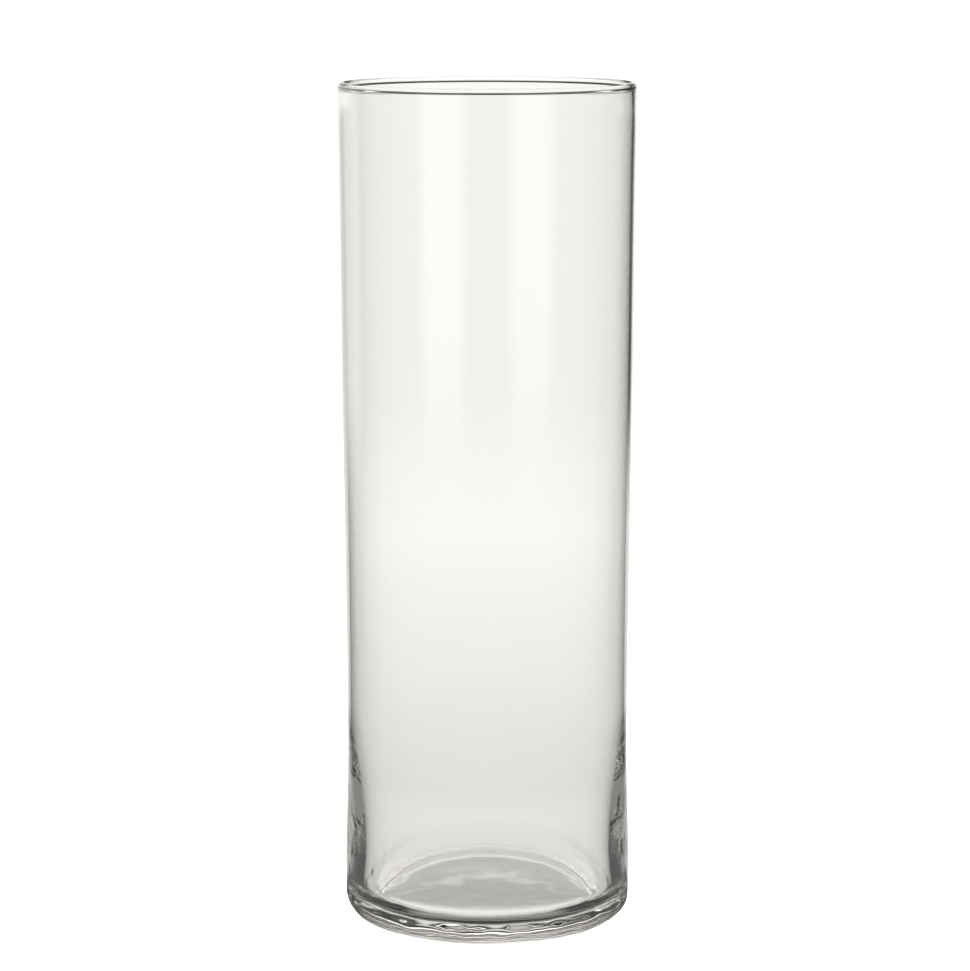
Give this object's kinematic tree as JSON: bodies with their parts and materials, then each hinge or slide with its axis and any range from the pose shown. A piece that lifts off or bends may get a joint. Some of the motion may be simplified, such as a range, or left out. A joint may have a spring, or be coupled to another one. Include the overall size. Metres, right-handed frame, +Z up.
{
  "type": "glass cylinder vase",
  "caption": "Tall straight-sided clear glass vase with a fire-polished rim, a heavy solid foot and a hollowed underside, for long-stemmed flowers.",
  "frame": {"origin": "centre of the ring that the vase stands on, at table level", "axes": "+Z up along the vase's axis, towards the mouth; the vase is round, so X and Y are free"},
  "size_m": [0.175, 0.175, 0.5],
  "materials": {
    "clear_glass": "clear soda-lime glass, fire-polished"
  },
  "bodies": {
    "root": {"glass_body": "clear_glass"}
  },
  "joints": []
}
